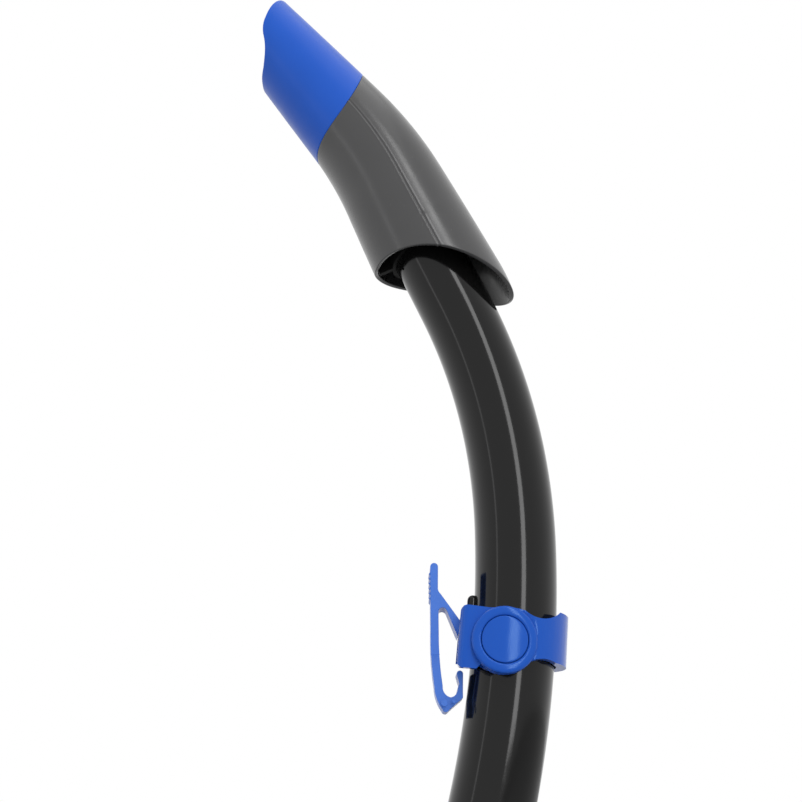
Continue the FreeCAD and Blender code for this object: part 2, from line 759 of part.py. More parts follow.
def is_circle(edge, radius):
    return isinstance(edge.Curve, Part.Circle) and abs(edge.Curve.Radius - radius) < 1e-6


def bevel(body, name, width, wanted):
    """Bevels some edges of the body's last feature."""
    base = body.Tip
    names = [f"Edge{i}" for i, e in enumerate(base.Shape.Edges, start=1)
             if any(e.isSame(w) for w in wanted)]
    cut = body.newObject("PartDesign::Chamfer", name)
    cut.Base = (base, names)
    cut.Size = width
    body.Tip = cut
    doc.recompute()
    return cut


def make_disc():
    front = value("Size.tube_deep / 2 + Size.keeper_gap + Size.band_wall + Size.boss_stand")
    floor = Placement(Vector(size("boss_x"), -front + size("recess_depth"), size("boss_z")),
                      Rotation(Vector(1, 0, 0), 90))
    body = new_body("keeper_disc", KEEPER.multiply(floor))
    edge = "Size.recess_radius - Size.disc_gap"
    turned(body, "medallion", ("0", "0"), (edge, "0"), (edge, "Size.disc_thick - 0.4"),
           (f"{edge} - 0.6", "Size.disc_thick"), ("0", "Size.disc_thick"), ("0", "0"))
    return body


def make_clip():
    body = new_body("strap_clip", PIVOT)
    inner = "-Size.bar_reach"
    outer = "-Size.bar_reach - Size.bar_thick"
    top = "Size.press_height - Size.bar_thick / 2"
    floor = "-Size.hook_drop"
    arm = "-Size.bar_reach + Size.hook_width"
    tip = "-Size.hook_drop + Size.arm_height"
    under = "-Size.hook_drop - Size.hook_floor"
    eye = "Size.eye_radius"
    profile = outline(
        body, "clip_side", "XZ_Plane", (outer, top),
        (f"({outer} + {inner}) / 2", "Size.press_height", inner, top),
        (f"{inner} - 0.1", "Size.strut_top + 2"),
        (f"{inner} + 0.1", "Size.strut_top + 0.8", f"{inner} + 0.7", "Size.strut_top"),
        (f"{eye} * 0.79", f"{eye} * 0.613"),
        (f"{eye} * 0.6", f"-{eye} * 0.8", f"-{eye} * 0.6", f"-{eye} * 0.8"),
        ("-2.2", "-2.2"),
        (f"{inner} + 2.7", "Size.strut_bottom - 0.6"),
        (f"{inner} + 1.4", "Size.strut_bottom + 0.3", inner, "Size.strut_bottom - 0.8"),
        (inner, "-2.6"),
        (f"{inner} + 0.3", f"{floor} / 2", f"{inner} + 1.1", f"{floor} + 3.5"),
        (f"{inner} + 2.1", f"{floor} + 0.8", f"{inner} + 3.6", floor),
        (f"{arm} - 1.6", f"{floor} + 0.5", f"{arm} - 0.6", f"{floor} + 2.3"),
        (arm, f"{floor} + 4.3"),
        (f"{arm} - 0.8", f"{tip} - 1.2"),
        (f"{arm} + 0.2", tip, f"{arm} + 1.25", f"{tip} - 0.9"),
        ("Size.nose_reach", f"{floor} + 1.9"),
        ("Size.nose_reach", f"{floor} - 0.2"),
        (f"{inner} + 3.0", f"{under} + 0.6"),
        (f"{inner} + 1.9", under, f"{inner} + 0.9", f"{under} + 0.8"),
        (f"{inner} - 0.5", f"{under} + 3.2", f"{outer} + 1.0", f"{floor} + 3.5"),
        (f"{outer} + 0.2", f"{floor} / 2", outer, "0.6"),
        (outer, top))
    pad(body, "clip_blade", profile, "Size.clip_deep", both_ways=True)
    stub = circles(body, "trunnion_circle", "XZ_Plane", "0", "0", "Size.pivot_radius")
    pad(body, "trunnions", stub,
        "Size.clip_deep + 2 * Size.soft_gap + 2 * Size.pivot_seat - 0.4", both_ways=True)
    first = "Size.press_height - 3"
    ridge = outline(
        body, "tooth_side", "XZ_Plane", (f"{outer} + 0.3", first),
        (outer, first),
        (f"{outer} - Size.tooth_height", f"{first} - Size.tooth_pitch * 0.35"),
        (outer, f"{first} - Size.tooth_pitch * 0.7"),
        (f"{outer} + 0.3", f"{first} - Size.tooth_pitch * 0.7"),
        (f"{outer} + 0.3", first))
    tooth = pad(body, "tooth", ridge, "Size.clip_deep - 1", both_ways=True)
    doc.recompute()
    row = body.newObject("PartDesign::LinearPattern", "teeth")
    row.Originals = [tooth]
    row.Direction = (origin_plane(body, "Z_Axis"), [""])
    row.Reversed = True
    bind(row, Occurrences="Size.tooth_count", Length="(Size.tooth_count - 1) * Size.tooth_pitch")
    body.Tip = row
    doc.recompute()
    return body


# ---- hose ------------------------------------------------------------------------------------

CUFF_TOP = line_from(ROUND_END, -size("soft_gap"))
HOSE_START = line_from(CUFF_TOP, -size("cuff_length"))
HOSE_CENTRE = shifted(HOSE_START, -size("hose_radius"), 0, 0)
HOSE_BENT = HOSE_CENTRE.multiply(Placement(Vector(), Rotation(Vector(0, 1, 0), size("hose_turn"))))
HOSE_END = shifted(HOSE_BENT, size("hose_radius"), 0, 0)
CUFF_BOTTOM = line_from(HOSE_END, -size("cuff_length"))


def hose_section(name, share, radius):
    """A circle across the hose's bend, a share of the way along it."""
    turn = Rotation(Vector(0, 1, 0), value(f"Size.hose_turn * {share}"))
    place = HOSE_CENTRE.multiply(Placement(Vector(), turn))
    return part("Circle", name, shifted(place, size("hose_radius"), 0, 0), Radius=radius)


def make_hose():
    """Pleats outside, a smooth bore inside, and a plain cuff over the spigot at each end."""
    valley = "Size.hose_outer"
    crest = "Size.hose_outer + Size.ridge_height"
    count = int(size("ridge_count"))
    pleats = [hose_section("pleat_start", 0, valley)]
    for number in range(count):
        pleats.append(hose_section(f"crest{number}", (number + 0.5) / count, crest))
        pleats.append(hose_section(f"valley{number}", (number + 1) / count, valley))
    wall = loft("hose_pleats", pleats)
    inside = "Size.hose_outer - Size.hose_wall"
    bore = loft("hose_bore", [hose_section(f"bore{i}", i / 5, inside) for i in range(6)])
    outer = "Size.spigot_radius + Size.fit_gap + Size.cuff_wall"
    socket = "Size.spigot_radius + Size.fit_gap"
    overlap = size("soft_gap")
    solids = [wall]
    hollows = [bore]
    for name, end in (("upper", HOSE_START), ("lower", CUFF_BOTTOM)):
        solids.append(part("Cylinder", name + "_cuff", end,
                           Radius=outer, Height="Size.cuff_length"))
    for name, end in (("upper", shifted(HOSE_START, 0, 0, overlap)),
                      ("lower", shifted(CUFF_BOTTOM, 0, 0, -overlap))):
        hollows.append(part("Cylinder", name + "_socket", end,
                            Radius=socket, Height="Size.cuff_length"))
    for name, end in (("upper", shifted(HOSE_START, 0, 0, -overlap)),
                      ("lower", shifted(HOSE_END, 0, 0, -2 * overlap))):
        hollows.append(part("Cylinder", name + "_throat", end,
                            Radius=inside, Height="3 * Size.soft_gap"))
    return boolean("Cut", "hose", joined("hose_solid", solids), joined("hose_hollow", hollows))


def make_hose_ring(label, place):
    """A band that grips the hose's cuff on the spigot inside."""
    body = new_body(label, place)
    inner = "Size.spigot_radius + 2 * Size.fit_gap + Size.cuff_wall"
    outer = f"{inner} + Size.ring_wall"
    half = "Size.ring_width / 2"
    turned(body, label + "_band", (inner, f"-{half}"), (outer, f"-{half}"), (outer, half),
           (inner, half), (inner, f"-{half}"))
    return body


# ---- purge chamber ---------------------------------------------------------------------------

CHAMBER_LEAN = size("lower_angle") + size("hose_turn")
CHAMBER_AXIS = line_from(CUFF_BOTTOM, -size("chamber_radius") + 1.0)
CHAMBER = Placement(CHAMBER_AXIS.Base, Rotation())
OUTLET = leaning(CHAMBER.Base, CHAMBER_LEAN)
INLET = leaning(CHAMBER.Base, -CHAMBER_LEAN)


HALF = math.sqrt(0.5)            # the middle of a quarter circle


def make_housing():
    body = new_body("purge_housing", CHAMBER)
    outer = "Size.chamber_radius"
    skirt = "-Size.chamber_skirt"
    wall = "Size.chamber_wall"
    flange = "Size.flange_radius"
    turned(body, "bowl", ("0", skirt), ("0", outer),
           (f"{outer} * {HALF}", f"{outer} * {HALF}", outer, "0"),
           (outer, f"{skirt} + Size.flange_thick"), (flange, f"{skirt} + Size.flange_thick"),
           (flange, skirt), ("0", skirt))
    reach = "Size.chamber_radius + Size.soft_gap + Size.spigot_length - 1.5"
    for name, place in (("hose_spigot", INLET), ("mouth_spigot", OUTLET)):
        stub = body.newObject("PartDesign::AdditiveCylinder", name)
        stub.Placement = CHAMBER.inverse().multiply(place)
        bind(stub, Radius="Size.spigot_radius", Height=reach)
    inner = f"{outer} - {wall}"
    turned(body, "hollow", ("0", f"{skirt} - 1"), (f"{inner}", f"{skirt} - 1"), (inner, "0"),
           (f"({inner}) * {HALF}", f"({inner}) * {HALF}", "0", inner),
           ("0", f"{skirt} - 1"), cut=True)
    for name, place in (("hose_bore", INLET), ("mouth_bore", OUTLET)):
        hole = body.newObject("PartDesign::SubtractiveCylinder", name)
        hole.Placement = CHAMBER.inverse().multiply(place)
        bind(hole, Radius="Size.spigot_radius - Size.spigot_wall", Height=f"{reach} + 1")
    doc.recompute()
    return body


def chamber_level(expression):
    """A frame on the chamber's axis at a height."""
    return shifted(CHAMBER, 0, 0, value(expression))


def make_valve_seat():
    body = new_body("valve_seat", chamber_level("-Size.chamber_skirt"))
    edge = "Size.chamber_radius - Size.chamber_wall - Size.fit_gap"
    rings = circles(body, "seat_rings", "XY_Plane", "0", "0", edge, "Size.stem_radius + 0.1")
    pad(body, "seat_plate", rings, "Size.seat_thick")
    hub = "Size.hub_radius"
    far = "Size.window_radius"
    window = outline(
        body, "window", "XY_Plane", (f"{hub} * 0.9", f"-{hub} * 0.45"),
        (f"{far} * 0.9", f"-{far} * 0.38"), (far, "0", f"{far} * 0.9", f"{far} * 0.38"),
        (f"{hub} * 0.9", f"{hub} * 0.45"), (hub, "0", f"{hub} * 0.9", f"-{hub} * 0.45"))
    hole = pocket(body, "window_cut", window, "3 * Size.seat_thick", both_ways=True)
    doc.recompute()
    ring_pattern(body, "windows", hole, "Size.window_count")
    doc.recompute()
    return body


def make_flap():
    body = new_body("purge_flap", chamber_level("-Size.chamber_skirt - Size.soft_gap"))
    stem = "Size.stem_radius"
    through = "Size.seat_thick + 2 * Size.soft_gap + Size.flap_travel"
    turned(body, "flap", ("0", "-Size.flap_thick"), ("Size.flap_radius", "-Size.flap_thick * 0.6"),
           ("Size.flap_radius", "0"), (stem, "0"), (stem, through),
           ("Size.bulb_radius", f"{through} + 0.6"), (f"{stem} * 0.6", f"{through} + 3"),
           ("0", f"{through} + 3"), ("0", "-Size.flap_thick"))
    return body


def make_seal():
    body = new_body("purge_seal", chamber_level("-Size.chamber_skirt"))
    rings = circles(body, "seal_rings", "XY_Plane", "0", "0",
                    "Size.flange_radius", "Size.flap_radius + Size.soft_gap + 1")
    pad(body, "seal_ring", rings, "Size.seal_thick", reverse=True)
    doc.recompute()
    return body


def make_cover():
    body = new_body("purge_cover", chamber_level("-Size.chamber_skirt + Size.flange_thick"))
    inner = "Size.flange_radius + Size.fit_gap"
    outer = f"{inner} + Size.cover_wall"
    depth = "-Size.cover_depth"
    wall = "Size.cover_wall"
    turned(body, "cup", (inner, "0"), (outer, "0"), (outer, f"{depth} + 3.5"),
           (f"{outer} - 3.5", depth), ("0", depth), ("0", f"{depth} + {wall}"),
           (f"{inner} - 2.8", f"{depth} + {wall}"), (inner, f"{depth} + 4.4"), (inner, "0"))
    half = "Size.slot_width / 2"
    near = "Size.hub_radius * 1.5"
    far = "Size.flange_radius - 4.5"
    plan = outline(
        body, "slot_plan", "XY_Plane", (near, f"-{half} * 0.5"), (far, f"-{half}"),
        (far, half), (near, f"{half} * 0.5"), (near, f"-{half} * 0.5"))
    hole = pocket(body, "slot", plan, "2 * Size.cover_depth")
    doc.recompute()
    ring_pattern(body, "slots", hole, "Size.slot_count")
    doc.recompute()
    return body


# ---- mouthpiece ------------------------------------------------------------------------------

NECK_START = "Size.chamber_radius + Size.soft_gap"
NECK_MIDDLE = f"{NECK_START} + Size.spigot_length - 1"
NECK_END = f"{NECK_MIDDLE} + Size.neck_length_soft"


def mouth_level(expression):
    """A frame on the mouthpiece's axis, so far from the chamber's centre."""
    return line_from(OUTLET, value(expression))


def make_mouthpiece():
    round_out = "2 * (Size.spigot_radius + Size.fit_gap + Size.neck_wall)"
    round_in = "2 * (Size.spigot_radius - Size.spigot_wall)"
    outer = [oval("neck_start", mouth_level(f"{NECK_START} + 1"), round_out, round_out)]
    inner = []
    for number, share in enumerate([-0.05, 0.25, 0.5, 0.75, 1.0, 1.4]):
        part_way = min(max(share, 0.0), 1.0)
        ease = part_way * part_way * (3 - 2 * part_way)
        place = mouth_level(f"{NECK_MIDDLE} + Size.neck_length_soft * {share}")
        wide = f"{round_out} + (Size.mouth_tall - {round_out}) * {ease}"
        deep = f"{round_out} + (Size.mouth_wide - {round_out}) * {ease}"
        outer.append(oval(f"neck_out{number}", place, wide, deep))
        wall = "2 * Size.neck_wall"
        wide = f"{round_in} + (Size.mouth_tall - {wall} - {round_in}) * {ease}"
        deep = f"{round_in} + (Size.mouth_wide - {wall} - {round_in}) * {ease}"
        inner.append(oval(f"neck_in{number}", place, wide, deep))
    bore = loft("neck_bore", inner)
    ahead = part("Cylinder", "neck_socket", mouth_level(NECK_START),
                 Radius="Size.spigot_radius + Size.fit_gap", Height="Size.spigot_length - 1")
    back = mouth_level(f"{NECK_END} - 8")
    plate = oval("shield_oval", back, "Size.flange_tall", "Size.flange_wide")
    block = extruded("shield_block", plate, back, "24")
    across = Placement(Vector(0, 0, 0), Rotation(Vector(0, 1, 0), 90))
    centre = shifted(mouth_level(f"{NECK_END} + Size.shield_radius"), -size("flange_tall"), 0, 0)
    big = part("Cylinder", "shield_outer", centre.multiply(across),
               Radius="Size.shield_radius + Size.shield_thick", Height="2 * Size.flange_tall")
    small = part("Cylinder", "shield_inner", centre.multiply(across),
                 Radius="Size.shield_radius", Height="2 * Size.flange_tall")
    curve = boolean("Cut", "shield_curve", big, small)
    shield = boolean("Common", "shield", block, curve)
    neck = boolean("Cut", "neck", loft("neck_whole", outer), small)
    tabs = []
    for side, name in ((-1, "left"), (1, "right")):
        near = size("bite_gap") if side > 0 else -size("bite_gap") - size("bite_wide")
        level = mouth_level(f"{NECK_END} - 1.5")
        tabs.append(part("Box", name + "_bite", shifted(level, -size("bite_thick") / 2, near, 0),
                         Length="Size.bite_thick", Width="Size.bite_wide",
                         Height="Size.bite_length"))
        end = mouth_level(f"{NECK_END} - 1.5 + Size.bite_length")
        tabs.append(part("Box", name + "_lug", shifted(end, -size("lug_tall") / 2, near, -1),
                         Length="Size.lug_tall", Width="Size.bite_wide",
                         Height="Size.lug_thick"))
    bites = boolean("Common", "bite_tabs", joined("bites", tabs), big)
    solid = joined("mouthpiece_solid", [neck, shield, bites])
    return boolean("Cut", "mouthpiece", solid, joined("mouthpiece_hollow", [bore, ahead]))


def make_tie():
    body = new_body("mouthpiece_tie", mouth_level(f"{NECK_START} + Size.spigot_length / 2"))
    inner = "Size.spigot_radius + 2 * Size.fit_gap + Size.neck_wall"
    outer = f"{inner} + Size.tie_wall"
    half = "Size.tie_width / 2"
    turned(body, "tie_band", (inner, f"-{half}"), (outer, f"-{half}"), (outer, half),
           (inner, half), (inner, f"-{half}"))
    head = body.newObject("PartDesign::AdditiveBox", "tie_lock")
    head.Placement = Placement(Vector(-value(outer) - 2.2, -size("tie_head") / 2,
                                      -size("tie_width") / 2 - 0.6), Rotation())
    bind(head, Length="2.8", Width="Size.tie_head", Height="Size.tie_width + 1.2")
    doc.recompute()
    return body


# ---- build and export ------------------------------------------------------------------------

RING_UP = shifted(CUFF_TOP, 0, 0, -size("cuff_length") / 2)
RING_DOWN = shifted(CUFF_BOTTOM, 0, 0, size("cuff_length") / 2)

parts = {
    "tube": make_tube(),
    "cowl": make_cowl(),
    "splash_cap": make_cap(),
    "cowl_spacer": make_spacer(),
    "deflector": make_deflector(),
    "keeper_collar": make_collar(),
    "keeper_disc": make_disc(),
    "strap_clip": make_clip(),
    "hose": make_hose(),
    "hose_ring_upper": make_hose_ring("hose_ring_upper", RING_UP),
    "hose_ring_lower": make_hose_ring("hose_ring_lower", RING_DOWN),
    "purge_housing": make_housing(),
    "valve_seat": make_valve_seat(),
    "purge_seal": make_seal(),
    "purge_flap": make_flap(),
    "purge_cover": make_cover(),
    "mouthpiece": make_mouthpiece(),
    "mouthpiece_tie": make_tie(),
}
doc.recompute()

for thing in doc.Objects:
    if "Invalid" in thing.State or "Error" in thing.State:
        raise RuntimeError(f"{thing.Name} failed: {thing.State}")
for label, thing in parts.items():
    thing.Label = label
    if thing.Shape.isNull() or not thing.Shape.isValid():
        raise RuntimeError(f"{label} has no valid shape")

os.makedirs("parts", exist_ok=True)
for label, thing in parts.items():
    thing.Shape.exportStep(f"parts/{label}.step")
    print(label, len(thing.Shape.Solids), round(thing.Shape.Volume / 1000, 2), "cm3")
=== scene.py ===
"""A semi-dry snorkel on white: a black oval tube, a grey splash cowl with a blue cap, a blue
keeper and strap clip, and below them the corrugated hose, purge chamber and mouthpiece."""
import bpy
import math
from mathutils import Matrix, Vector


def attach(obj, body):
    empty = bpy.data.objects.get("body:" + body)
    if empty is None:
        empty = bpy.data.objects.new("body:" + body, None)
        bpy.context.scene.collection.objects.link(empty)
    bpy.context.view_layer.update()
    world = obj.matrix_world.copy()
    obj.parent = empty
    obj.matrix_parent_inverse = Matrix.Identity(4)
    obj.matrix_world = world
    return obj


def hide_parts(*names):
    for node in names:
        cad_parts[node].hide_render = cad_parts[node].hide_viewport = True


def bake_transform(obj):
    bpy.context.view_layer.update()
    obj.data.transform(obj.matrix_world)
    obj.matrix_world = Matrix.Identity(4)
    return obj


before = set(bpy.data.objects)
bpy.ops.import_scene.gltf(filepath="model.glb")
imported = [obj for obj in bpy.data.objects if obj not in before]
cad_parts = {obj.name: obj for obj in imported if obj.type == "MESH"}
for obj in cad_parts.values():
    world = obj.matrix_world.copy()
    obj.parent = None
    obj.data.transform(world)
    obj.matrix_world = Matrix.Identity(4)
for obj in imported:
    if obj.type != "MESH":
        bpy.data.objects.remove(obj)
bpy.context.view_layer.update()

# ---------------------------------------------------------------- tube
# The barrel is one injection moulding in gloss black, an oval with a gentle bend below
# and a tighter one above. A small stop stands on its inner side over the keeper, and its
# round lower end plugs into the hose.
bend = Vector((0.02365, 0, 0.038))
lower_radius = 0.360
lower_turn = math.radians(18)
upper_radius = 0.208
upper_turn = math.radians(25)
neck_length = 0.050
crown_radius = 0.155
crown_turn = math.radians(13)
neck_start = upper_turn * upper_radius
neck_end = neck_start + neck_length
crown_end = neck_end + crown_turn * crown_radius


def deselect():
    bpy.ops.object.select_all(action="DESELECT")


def choose(thing):
    deselect()
    thing.select_set(True)
    bpy.context.view_layer.objects.active = thing


def modify(thing, kind, **settings):
    """Adds a modifier with its settings and applies it."""
    choose(thing)
    modifier = thing.modifiers.new(kind.title(), kind)
    for key, setting in settings.items():
        setattr(modifier, key, setting)
    bpy.ops.object.modifier_apply(modifier=modifier.name)


def settle(thing):
    """Puts a primitive's place, turn and size into its mesh."""
    choose(thing)
    bpy.ops.object.transform_apply(location=True, rotation=True, scale=True)


def join_into(thing, addition):
    choose(thing)
    addition.select_set(True)
    bpy.ops.object.join()


def smooth(thing, angle):
    choose(thing)
    bpy.ops.object.shade_smooth_by_angle(angle=math.radians(angle))


def smooth_round_bevels(thing, angle=35):
    """Smooth shading in which the narrow bevels follow the broad faces beside them."""
    smooth(thing, angle)
    modify(thing, "WEIGHTED_NORMAL", weight=60, keep_sharp=True)


def paint(thing, material):
    thing.data.materials.clear()
    thing.data.materials.append(material)


def stands_for(thing, body, *nodes):
    """The piece moves with a body, in place of the plain solids of these nodes."""
    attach(thing, body)
    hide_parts(*nodes)


def along_arc(start, lean, radius, turn):
    """The point reached by turning through an angle on an arc towards the head."""
    inward = Vector((-math.cos(lean), 0, -math.sin(lean))) * radius
    return start + inward - Vector((-math.cos(lean + turn), 0, -math.sin(lean + turn))) * radius


def lean_at(run):
    """How far the centre line leans towards the head, at a run above the bend."""
    if run < 0:
        return max(run / lower_radius, -lower_turn)
    if run < neck_start:
        return run / upper_radius
    turn = min(max(run - neck_end, 0) / crown_radius, crown_turn)
    return upper_turn + turn


def point_at(run):
    """The centre line's point at a run above the bend."""
    lean = lean_at(run)
    ahead = Vector((-math.sin(lean), 0, math.cos(lean)))
    if run < 0:
        past = min(run + lower_turn * lower_radius, 0)
        return along_arc(bend, 0, lower_radius, lean) + ahead * past
    if run < neck_start:
        return along_arc(bend, 0, upper_radius, lean)
    neck = along_arc(bend, 0, upper_radius, upper_turn)
    up = Vector((-math.sin(upper_turn), 0, math.cos(upper_turn)))
    if run < neck_end:
        return neck + up * (run - neck_start)
    crown = neck + up * neck_length
    end = along_arc(crown, upper_turn, crown_radius, lean - upper_turn)
    return end + ahead * max(run - crown_end, 0)


def line_frame(run):
    """The frame across the centre line at a run above the bend, its Z along the line."""
    return Matrix.Translation(point_at(run)) @ Matrix.Rotation(-lean_at(run), 4, "Y")


def lean_of(frame_here):
    return -frame_here.to_euler().y


def start_oval(name, place, wide, deep, around):
    """An oval ring across a frame, left in edit mode with all of it selected."""
    deselect()
    bpy.ops.mesh.primitive_circle_add(vertices=around, radius=1, location=(0, 0, 0))
    ring = bpy.context.object
    ring.name = name
    bpy.ops.object.mode_set(mode="EDIT")
    bpy.ops.mesh.select_all(action="SELECT")
    bpy.ops.transform.resize(value=(wide / 2, deep / 2, 1), center_override=(0, 0, 0))
    bpy.ops.transform.rotate(value=lean_of(place), orient_axis="Y", center_override=(0, 0, 0))
    bpy.ops.transform.translate(value=place.translation)
    return ring


def extrude_oval(place, new_place, size, new_size):
    """Draws the selected oval out to a new frame, width and depth."""
    step = new_place.translation - place.translation
    bpy.ops.mesh.extrude_edges_move(TRANSFORM_OT_translate={"value": step})
    bpy.ops.transform.rotate(value=lean_of(new_place) - lean_of(place), orient_axis="Y",
                             center_override=new_place.translation)
    factors = (new_size[0] / size[0], new_size[1] / size[1], 1)
    bpy.ops.transform.resize(value=factors, orient_matrix=new_place.to_3x3(),
                             center_override=new_place.translation)


def oval_sheet(name, rows, around):
    """A wall without thickness through rows of frame, width and depth."""
    sheet = start_oval(name, *rows[0], around)
    for row, next_row in zip(rows, rows[1:]):
        extrude_oval(row[0], next_row[0], row[1:], next_row[1:])
    bpy.ops.object.mode_set(mode="OBJECT")
    return sheet


def spread(low, high, count):
    return [low + (high - low) * step / count for step in range(count + 1)]


tube_wide = 0.0273
tube_deep = 0.0310
tube_taper = 0.0021
tube_wall = 0.0022
spigot_across = 0.0252
spigot_length = 0.0158
foot_across = 0.0268
to_round = 0.012
tube_top = neck_start + 0.047
oval_end = -lower_turn * lower_radius
round_end = oval_end - to_round
tube_rows = [(line_frame(round_end - spigot_length), spigot_across, spigot_across),
             (line_frame(round_end - 0.0002), spigot_across, spigot_across),
             (line_frame(round_end), foot_across, foot_across),
             (line_frame(round_end + to_round / 2), (foot_across + tube_wide) / 2,
              (foot_across + tube_deep) / 2)]
for run in spread(oval_end, 0, 48) + spread(0, tube_top, 56)[1:]:
    narrower = tube_taper * max(run, 0) / tube_top
    tube_rows.append((line_frame(run), tube_wide - narrower, tube_deep - narrower))
tube = oval_sheet("tube_body", tube_rows, 128)
modify(tube, "SOLIDIFY", thickness=tube_wall, offset=-1, use_even_offset=True)

keeper_drop = 0.034
keeper_frame = line_frame(-lower_radius * math.asin(keeper_drop / lower_radius))
stop_place = keeper_frame @ Vector((-0.01445, 0, 0.01085))
deselect()
bpy.ops.mesh.primitive_cube_add(size=1, location=stop_place, rotation=keeper_frame.to_euler(),
                                scale=(0.0036, 0.0050, 0.0057))
stop = bpy.context.object
settle(stop)
modify(stop, "BEVEL", width=0.00175, segments=8)
join_into(tube, stop)
smooth(tube, 40)


def add_node(tree, kind, operation=None, **inputs):
    """A node with its operation and its inputs set: a number or colour, or a socket to link."""
    node = tree.nodes.new(kind)
    if operation is not None:
        node.operation = operation
    for key, setting in inputs.items():
        socket = node.inputs[int(key[1:])] if key[0] == "_" else node.inputs[key.replace("_", " ")]
        if isinstance(setting, bpy.types.NodeSocket):
            tree.links.new(setting, socket)
        else:
            socket.default_value = setting
    return node


def moulded_skin():
    """What a mould and handling leave on plastic: clouding, smudges, fine scuffs and grain."""
    tree = bpy.data.node_groups.new("moulded skin", "ShaderNodeTree")
    taken = (("Colour", "NodeSocketColor", (0, 0, 0, 1)), ("Roughness", "NodeSocketFloat", 0.3),
             ("Clouding", "NodeSocketFloat", 0.1), ("Smudge", "NodeSocketFloat", 0.05),
             ("Grain Scale", "NodeSocketFloat", 3000), ("Grain", "NodeSocketFloat", 0.1))
    for name, kind, start in taken:
        tree.interface.new_socket(name, in_out="INPUT", socket_type=kind).default_value = start
    for name, kind in (("Colour", "NodeSocketColor"), ("Roughness", "NodeSocketFloat"),
                       ("Normal", "NodeSocketVector")):
        tree.interface.new_socket(name, in_out="OUTPUT", socket_type=kind)
    given = tree.nodes.new("NodeGroupInput").outputs
    place = tree.nodes.new("ShaderNodeTexCoord").outputs["Object"]
    cloud = add_node(tree, "ShaderNodeTexNoise", Vector=place, Scale=70.0, Detail=3.0).outputs["Fac"]
    swing = add_node(tree, "ShaderNodeMath", "SUBTRACT", _0=cloud, _1=0.5).outputs[0]
    swing = add_node(tree, "ShaderNodeMath", "MULTIPLY", _0=swing, _1=given["Clouding"]).outputs[0]
    shade = add_node(tree, "ShaderNodeMath", "ADD", _0=swing, _1=1.0).outputs[0]
    tinted = add_node(tree, "ShaderNodeVectorMath", "SCALE", Vector=given["Colour"],
                      Scale=shade).outputs[0]
    smear = add_node(tree, "ShaderNodeTexNoise", Vector=place, Scale=190.0, Detail=4.0).outputs["Fac"]
    smear = add_node(tree, "ShaderNodeMapRange", Value=smear, From_Min=0.4, From_Max=0.75).outputs[0]
    drawn = add_node(tree, "ShaderNodeMapping", Vector=place, Scale=(2600.0, 2600.0, 60.0)).outputs[0]
    scuff = add_node(tree, "ShaderNodeTexNoise", Vector=drawn, Scale=1.0, Detail=1.0).outputs["Fac"]
    scuff = add_node(tree, "ShaderNodeMapRange", Value=scuff, From_Min=0.70, From_Max=0.78).outputs[0]
    scuff = add_node(tree, "ShaderNodeMath", "MULTIPLY", _0=scuff, _1=smear).outputs[0]
    dulled = add_node(tree, "ShaderNodeMath", "MULTIPLY_ADD", _0=scuff, _1=1.2, _2=smear).outputs[0]
    rough = add_node(tree, "ShaderNodeMath", "MULTIPLY_ADD", _0=dulled, _1=given["Smudge"],
                     _2=given["Roughness"]).outputs[0]
    grain = add_node(tree, "ShaderNodeTexNoise", Vector=place, Scale=given["Grain Scale"],
                     Detail=2.0).outputs["Fac"]
    height = add_node(tree, "ShaderNodeMath", "MULTIPLY_ADD", _0=scuff, _1=-0.15, _2=grain).outputs[0]
    bump = add_node(tree, "ShaderNodeBump", Strength=given["Grain"], Distance=0.00012, Height=height)
    out = tree.nodes.new("NodeGroupOutput")
    for name, socket in (("Colour", tinted), ("Roughness", rough), ("Normal", bump.outputs["Normal"])):
        tree.links.new(socket, out.inputs[name])
    return tree


skin = moulded_skin()


def moulded(name, colour, roughness, feel, **finish):
    """A plastic or rubber: its colour, roughness, the skin's settings and the shader's other ones."""
    material = bpy.data.materials.new(name)
    material.use_nodes = True
    tree = material.node_tree
    shader = tree.nodes["Principled BSDF"]
    surface = tree.nodes.new("ShaderNodeGroup")
    surface.node_tree = skin
    surface.inputs["Colour"].default_value = (*colour, 1)
    surface.inputs["Roughness"].default_value = roughness
    for key, setting in feel.items():
        surface.inputs[key.replace("_", " ")].default_value = setting
    tree.links.new(surface.outputs["Colour"], shader.inputs["Base Color"])
    tree.links.new(surface.outputs["Roughness"], shader.inputs["Roughness"])
    tree.links.new(surface.outputs["Normal"], shader.inputs["Normal"])
    for socket, setting in finish.items():
        shader.inputs[socket.replace("_", " ")].default_value = setting
    return material


polished = {"Clouding": 0.25, "Smudge": 0.035, "Grain_Scale": 260, "Grain": 0.05}
gloss_black = moulded("gloss black plastic", (0.004, 0.004, 0.004), 0.10, polished, IOR=1.36)
paint(tube, gloss_black)
stands_for(tube, "barrel", "tube")

# ---------------------------------------------------------------- cowl
# The splash cowl is a thin grey shell round the barrel's top, open below so that water
# runs out. Its rim arches and its upper edge takes the cap. The two halves of its mould left
# a fine line down its front and back.
shell_wall = 0.0015
shell_bottom = -0.022
shell_length = 0.172
rim_size = (0.0446, 0.0465)
mouth_size = (0.0265, 0.0320)
rim_tuck = 0.0015
tuck_top = 0.005
tuck_length = 0.015
front = -math.pi / 2


